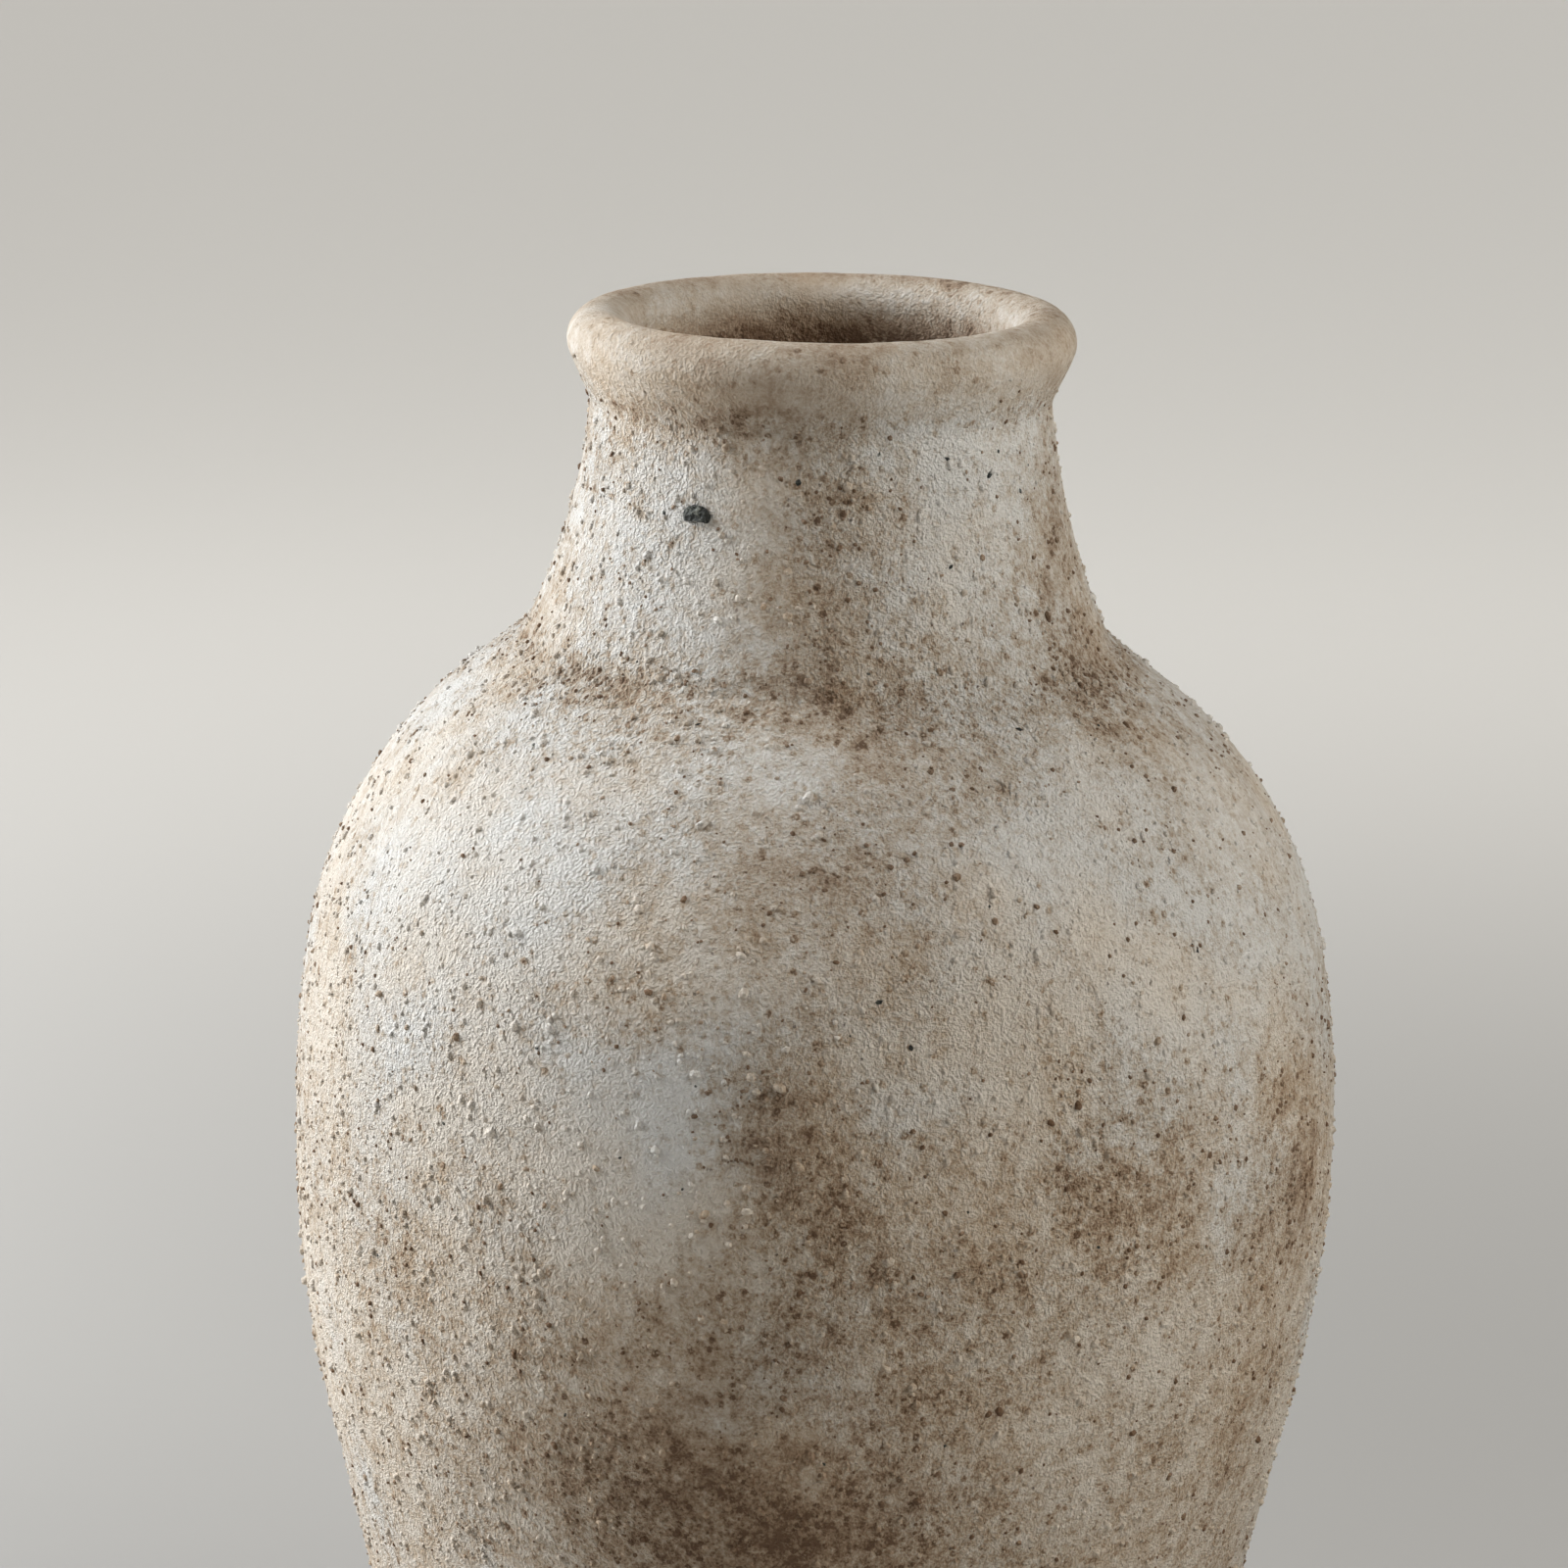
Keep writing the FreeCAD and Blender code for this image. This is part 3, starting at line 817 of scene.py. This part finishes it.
draw = np.random.default_rng(SEED)
GOLDEN = (1 + math.sqrt(5)) / 2
RECTANGLE = np.array([(0.0, a, b * GOLDEN) for a in (-1, 1) for b in (-1, 1)])
CORNERS = np.concatenate([np.roll(RECTANGLE, turn, axis=1) for turn in range(3)])
CORNERS /= math.hypot(1, GOLDEN)


def icosahedron_faces():
    """Triples of corners that are all an edge apart, wound to face outward."""
    apart = np.linalg.norm(CORNERS[:, None] - CORNERS[None], axis=2)
    edge = apart[apart > 0].min() * 1.01
    faces = []
    for trio in itertools.combinations(range(len(CORNERS)), 3):
        if all(apart[a, b] < edge for a, b in itertools.combinations(trio, 2)):
            a, b, c = CORNERS[list(trio)]
            faces.append(trio if np.dot(np.cross(b - a, c - a), a) > 0 else trio[::-1])
    return np.array(faces)


ICOSAHEDRON = icosahedron_faces()
SKIN_NORMALS = outward(OUTSIDE)
LEVELS = OUTSIDE[:, 1]
SKIN_ROWS = int(np.argmax(LEVELS > 270.0))  # before this row the outline only climbs
STONE_STRETCH = (0.95, 1.5)  # length over width, at least and at most
STONE_JAG = (0.72, 1.18)  # how far a corner lies in or out, at least and at most


def seats(index, azimuth):
    """Points on the skin and its normals, at places along the outline and degrees round."""
    bearing = np.radians(azimuth - 90)
    around = np.stack([np.cos(bearing), np.sin(bearing)], axis=1)
    points = np.column_stack([OUTSIDE[index, :1] * around, OUTSIDE[index, 1]])
    normals = np.column_stack([SKIN_NORMALS[index, :1] * around, SKIN_NORMALS[index, 1]])
    return points, normals


def scattered(count, low, high):
    """Places spread evenly over the skin between two levels."""
    rows = np.flatnonzero((LEVELS > low) & (LEVELS < high) & (OUTSIDE[:, 0] > LIP_RADIUS_MM))
    share = OUTSIDE[rows, 0] / OUTSIDE[rows, 0].sum()
    return seats(draw.choice(rows, count, p=share), draw.uniform(-180, 180, count))


def stones(seat, normals, sizes, height, sink):
    """Jagged stones, four corners round and twelve in all: sizes are their half widths.

    height is half their thickness and sink how deep their middle lies, as shares of the size.
    """
    count = len(seat)
    side = np.cross([0.0, 0.0, 1.0], normals)
    side /= np.linalg.norm(side, axis=1, keepdims=True)
    rise = np.cross(normals, side)
    spin = draw.uniform(0, math.tau, (count, 1))
    axes = np.stack([np.cos(spin) * side + np.sin(spin) * rise,
                     np.cos(spin) * rise - np.sin(spin) * side, normals], axis=1)
    stretch = np.stack([draw.uniform(*STONE_STRETCH, count), np.ones(count), height], axis=1)
    shape = CORNERS[None] * draw.uniform(*STONE_JAG, (count, len(CORNERS), 1))
    shape = shape * (stretch * sizes[:, None])[:, None, :]
    centres = seat + normals * (relief(seat) - sizes * sink)[:, None]
    points = centres[:, None, :] + shape @ axes
    faces = ICOSAHEDRON[None] + len(CORNERS) * np.arange(count)[:, None, None]
    return points.reshape(-1, 3), faces.reshape(-1, 3)


def per_corner(values):
    """One value a stone, repeated for each of its corners."""
    return np.repeat(values, len(CORNERS))


# Names and upper levels, in millimetres, of the bands that the loose grains are kept in.
BANDS = (
    ("grains_base", 60.0), ("grains_lower", 108.0), ("grains_belly", 152.0),
    ("grains_shoulder", 229.0), ("grains_neck", 274.0),
)
GRAINS = 26000  # places tried; how gritty and brown the skin is decides which are kept
GRAIN_MM = 0.34  # the usual half width
GRAIN_SPREAD = 0.36
GRAIN_LIMITS_MM = (0.18, 0.9)
GRAIN_GRIT = 0.4
# Crusts of grains. Each has its degrees from the front, level, reach along and across in
# millimetres, the way it runs in degrees above level, and its number of grains.
CRUSTS = (
    (-8.0, 173.5, 1.1, 0.9, 0.0, 12), (-44.0, 130.1, 2.2, 1.6, 20.0, 22),
    (47.5, 196.5, 1.1, 0.9, 0.0, 9), (29.0, 219.5, 5.5, 0.9, -42.0, 26),
    (55.0, 230.0, 9.0, 2.4, -8.0, 46), (-55.0, 228.0, 8.0, 2.2, 8.0, 30),
    (3.0, 236.0, 6.0, 3.0, 60.0, 26), (-20.0, 232.0, 8.0, 1.8, 0.0, 24),
    (62.0, 156.0, 5.0, 3.0, 80.0, 20), (20.0, 158.0, 9.0, 3.0, -30.0, 26),
    (-6.0, 184.0, 6.0, 4.0, 20.0, 22), (150.0, 229.0, 14.0, 2.5, 0.0, 46),
    (-130.0, 150.0, 6.0, 4.0, 40.0, 24), (110.0, 110.0, 6.0, 3.0, 10.0, 22),
)


def crust(azimuth, level, along, across, slant, count):
    """Places and normals of the grains of one crust."""
    radius = np.interp(level, LEVELS[:SKIN_ROWS], OUTSIDE[:SKIN_ROWS, 0])
    turn = math.radians(slant)
    run, drift = draw.normal(0, along, count) / 2, draw.normal(0, across, count) / 2
    rows = np.searchsorted(LEVELS[:SKIN_ROWS],
                           level + run * math.sin(turn) + drift * math.cos(turn))
    aside = run * math.cos(turn) - drift * math.sin(turn)
    return seats(rows, azimuth + np.degrees(aside / radius))


def add_grains():
    """Thousands of grog grains just under and through the wash, most where it is gritty."""
    seat, normals = scattered(GRAINS, 9.0, BANDS[-1][1])
    chance = 0.15 + 0.75 * grit_at(seat) + 0.45 * skin_tone(seat) + 0.3 * layered(seat, 9.0, 2, 21)
    chance *= 1 - 0.75 * smooth((seat[:, 2] - 266.0) / 4.0)
    kept = draw.uniform(0, 1.15, GRAINS) < chance
    crusts = [crust(*place) for place in CRUSTS]
    seat = np.concatenate([seat[kept]] + [found for found, _ in crusts])
    normals = np.concatenate([normals[kept]] + [facing for _, facing in crusts])
    count = len(seat)
    sizes = np.clip(GRAIN_MM * np.exp(draw.normal(0, GRAIN_SPREAD, count)), *GRAIN_LIMITS_MM)
    brown = draw.uniform(0, 1, count) < 0.28 + 0.22 * skin_tone(seat)
    sizes[brown] *= 0.75
    tone = skin_tone(seat) + np.where(brown, draw.uniform(0.3, 1.0, count),
                                      draw.uniform(-0.15, 0.12, count))
    band = np.searchsorted([top for _, top in BANDS], seat[:, 2])
    for number, (name, _) in enumerate(BANDS):
        own = band == number
        flat = draw.uniform(0.8, 1.25, own.sum())
        points, faces = stones(seat[own], normals[own], sizes[own], flat, 0.1)
        add_piece(name, points, faces, "grog_grains", grog,
                  per_corner(np.clip(tone[own], 0, 1)),
                  per_corner(np.full(own.sum(), GRAIN_GRIT)))


# Single dark stones. Each has its degrees from the front, level and half width in millimetres.
DARK_STONES = (
    (-5.0, 260.2, 0.62), (36.0, 226.4, 0.55), (7.0, 195.6, 0.45), (10.2, 189.5, 0.5),
    (47.5, 196.5, 0.75), (44.0, 260.0, 0.6), (30.0, 248.0, 0.4), (-47.0, 221.5, 0.5),
    (14.0, 264.3, 0.4), (31.6, 263.0, 0.5), (47.5, 263.0, 0.45), (54.6, 256.7, 0.5),
    (-38.0, 254.3, 0.4), (-44.0, 130.1, 0.6), (-52.0, 148.0, 0.4), (-30.0, 186.0, 0.35),
    (150.0, 205.0, 0.6), (-140.0, 170.0, 0.6), (175.0, 130.0, 0.55), (110.0, 240.0, 0.5),
)
STRAY_STONES = 90
STRAY_SIZES_MM = (0.18, 0.42)


def row_at(level):
    """The skin's row nearest to a level; the rows inside the mouth count as a step away."""
    return int(np.argmin(np.abs(LEVELS - level) + (OUTSIDE[:, 0] < LIP_RADIUS_MM)))


def add_dark_stones():
    """Black iron stones: a few in set places and the rest strewn at random."""
    azimuth, level, size = np.array(DARK_STONES).T
    rows = np.array([row_at(z) for z in level])
    placed = seats(rows, azimuth)
    strewn = scattered(STRAY_STONES, 14.0, 268.0)
    seat, normals = (np.concatenate(pair) for pair in zip(placed, strewn))
    sizes = np.concatenate([size, draw.uniform(*STRAY_SIZES_MM, STRAY_STONES)])
    for name, own in (("dark_stones_upper", seat[:, 2] > BELLY_LEVEL_MM),
                      ("dark_stones_lower", seat[:, 2] <= BELLY_LEVEL_MM)):
        flat = draw.uniform(0.35, 0.6, own.sum())
        points, faces = stones(seat[own], normals[own], sizes[own], flat, 0.2)
        add_piece(name, points, faces, "grog_grains", stone,
                  per_corner(np.ones(own.sum())), per_corner(np.ones(own.sum())))


CHIP_WIDTH_MM = 4.5
CHIP_HEIGHT_MM = 2.6
CHIP_OUT_MM = 0.7


def add_stone_chip():
    """The one large chip: a lens with a flat lower edge and a split, pitted face."""
    low, high = (np.array(corner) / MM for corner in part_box("stone_chip"))
    middle = (low + high) / 2
    azimuth = float(azimuth_of(middle[None])[0])
    seat, normals = seats(np.array([row_at(middle[2])]), np.array([azimuth]))
    shape = bmesh.new()
    bmesh.ops.create_icosphere(shape, subdivisions=5, radius=1.0)
    ball = np.array([v.co for v in shape.verts])
    faces = np.array([[v.index for v in face.verts] for face in shape.faces])
    shape.free()
    across, up, out = ball.T
    up = np.where(up < 0, np.maximum(up, -0.45 - 0.1 * across**2), up)
    side = np.cross([0.0, 0.0, 1.0], normals[0])
    side /= np.linalg.norm(side)
    rise = np.cross(normals[0], side)
    points = (seat[0] + np.outer(across * CHIP_WIDTH_MM / 2, side)
              + np.outer(up * CHIP_HEIGHT_MM / 1.6, rise) + np.outer(out * CHIP_OUT_MM, normals[0]))
    points += normals[0] * 0.22 * layered(points, 0.9, 3, 22)[:, None]
    points += np.outer(0.12 * layered(points, 0.8, 2, 23), rise)
    ones = np.ones(len(points))
    add_piece("stone_chip", points, faces, "stone_chip", stone, ones, ones)


# --- Building the vase ---

add_foot_ring(JOINTS["foot_slip"], 0.9)
add_floor_disc(JOINTS["foot_slip"], JOINTS["floor_slip"], 1.1)
add_wall("lower_wall", JOINTS["floor_slip"], JOINTS["belly_slip"], 1.25, 3.0)
add_wall("shoulder_wall", JOINTS["belly_slip"], JOINTS["neck_slip"], 0.8, 2.0)
add_wall("neck_collar", JOINTS["neck_slip"], JOINTS["lip_slip"], 0.42, 0.9)
add_lip(JOINTS["lip_slip"], 0.36)
for name, joint in JOINTS.items():
    add_slip(name, joint, 0.7)
add_grains()
add_dark_stones()
add_stone_chip()

# --- Floor, light and camera ---

FLOOR_HALF_M = 12.0
FLOOR_COLOUR = linear(176, 174, 170)
LIT_PLACE = (0.0, 0.0, 0.19)
FLOOR_LIGHT_PLACE = (2.7, 3.3, 1.4)
FLOOR_LIGHT_SIZE = (6.6, 5.4)
FLOOR_LIGHT_WATTS = 135.0
FLOOR_LIGHT_COLOUR = (1.0, 0.99, 0.97)
FLOOR_LIGHT_SPREAD = 44.0
SENSOR_WIDTH = 36.0
FOCAL_LENGTH = 101.25
CAMERA_PLACE = (0.0, -0.6504, 0.3831)
CAMERA_ANGLES = (-0.426, 15.196, 0.665)  # degrees turned right, tilted down and rolled
WORLD_COLOUR = (1.0, 0.92, 0.82, 1)
WORLD_STRENGTH = 0.03


def add_floor():
    """A pale floor, wide enough to lie behind the vase from every side."""
    mesh = bpy.data.meshes.new("floor")
    half = FLOOR_HALF_M
    corners = [(-half, -half, 0), (half, -half, 0), (half, half, 0), (-half, half, 0)]
    mesh.from_pydata(corners, [], [(0, 1, 2, 3)])
    floor = bpy.data.objects.new("floor", mesh)
    bpy.context.scene.collection.objects.link(floor)
    material = bpy.data.materials.new("pale_floor")
    material.use_nodes = True
    shader = material.node_tree.nodes["Principled BSDF"]
    shader.inputs["Base Color"].default_value = FLOOR_COLOUR
    shader.inputs["Roughness"].default_value = 0.9
    mesh.materials.append(material)


def add_light(name, place, size, power, colour, spread=180.0):
    """A soft rectangular light that faces the shoulder, its spread in degrees."""
    light = bpy.data.lights.new(name, "AREA")
    light.shape = "RECTANGLE"
    light.size, light.size_y = size
    light.energy = power
    light.color = colour
    light.spread = math.radians(spread)
    lamp = bpy.data.objects.new(name, light)
    lamp.location = place
    aim = Vector(LIT_PLACE) - Vector(place)
    lamp.rotation_euler = aim.to_track_quat("-Z", "Y").to_euler()
    bpy.context.scene.collection.objects.link(lamp)
    return lamp


def add_floor_light(turn):
    """One of four overhead lights, set round the vase like the blades of a pinwheel.

    Their narrow spread keeps them on the floor, so the vase is lit by the key and the fill.
    """
    middle = Matrix.Rotation(turn, 3, "Z") @ Vector(FLOOR_LIGHT_PLACE)
    lamp = add_light(f"floor_light_{round(math.degrees(turn))}", middle, FLOOR_LIGHT_SIZE,
                     FLOOR_LIGHT_WATTS, FLOOR_LIGHT_COLOUR, spread=FLOOR_LIGHT_SPREAD)
    lamp.rotation_euler = (0.0, 0.0, turn)  # straight down, square to the vase


def add_camera():
    """Just above the rim and close in front, with the foot out of view below."""
    lens = bpy.data.cameras.new("camera")
    lens.sensor_width = SENSOR_WIDTH
    lens.lens = FOCAL_LENGTH
    camera = bpy.data.objects.new("camera", lens)
    camera.location = CAMERA_PLACE
    yaw, pitch, roll = (math.radians(angle) for angle in CAMERA_ANGLES)
    ahead = Vector((math.sin(yaw) * math.cos(pitch), math.cos(yaw) * math.cos(pitch),
                    -math.sin(pitch)))
    right = Vector((math.cos(yaw), -math.sin(yaw), 0.0))
    up = right.cross(ahead)
    right, up = (math.cos(roll) * right + math.sin(roll) * up,
                 math.cos(roll) * up - math.sin(roll) * right)
    camera.rotation_euler = Matrix((right, up, -ahead)).transposed().to_euler()
    bpy.context.scene.collection.objects.link(camera)
    bpy.context.scene.camera = camera


def add_world():
    """A trace of warm light from all round."""
    world = bpy.data.worlds.new("studio")
    world.use_nodes = True
    background = world.node_tree.nodes["Background"]
    background.inputs["Color"].default_value = WORLD_COLOUR
    background.inputs["Strength"].default_value = WORLD_STRENGTH
    bpy.context.scene.world = world


add_floor()
add_light("key", (-0.89, 0.19, 0.61), (0.5, 0.75), 16.9, (0.955, 0.975, 1.0))
add_light("fill", (0.74, -0.30, 0.80), (0.7, 0.8), 6.9, (1.0, 0.968, 0.915))
for side in range(4):
    add_floor_light(side * math.pi / 2)
add_camera()
add_world()
bpy.context.scene.view_settings.view_transform = "Standard"
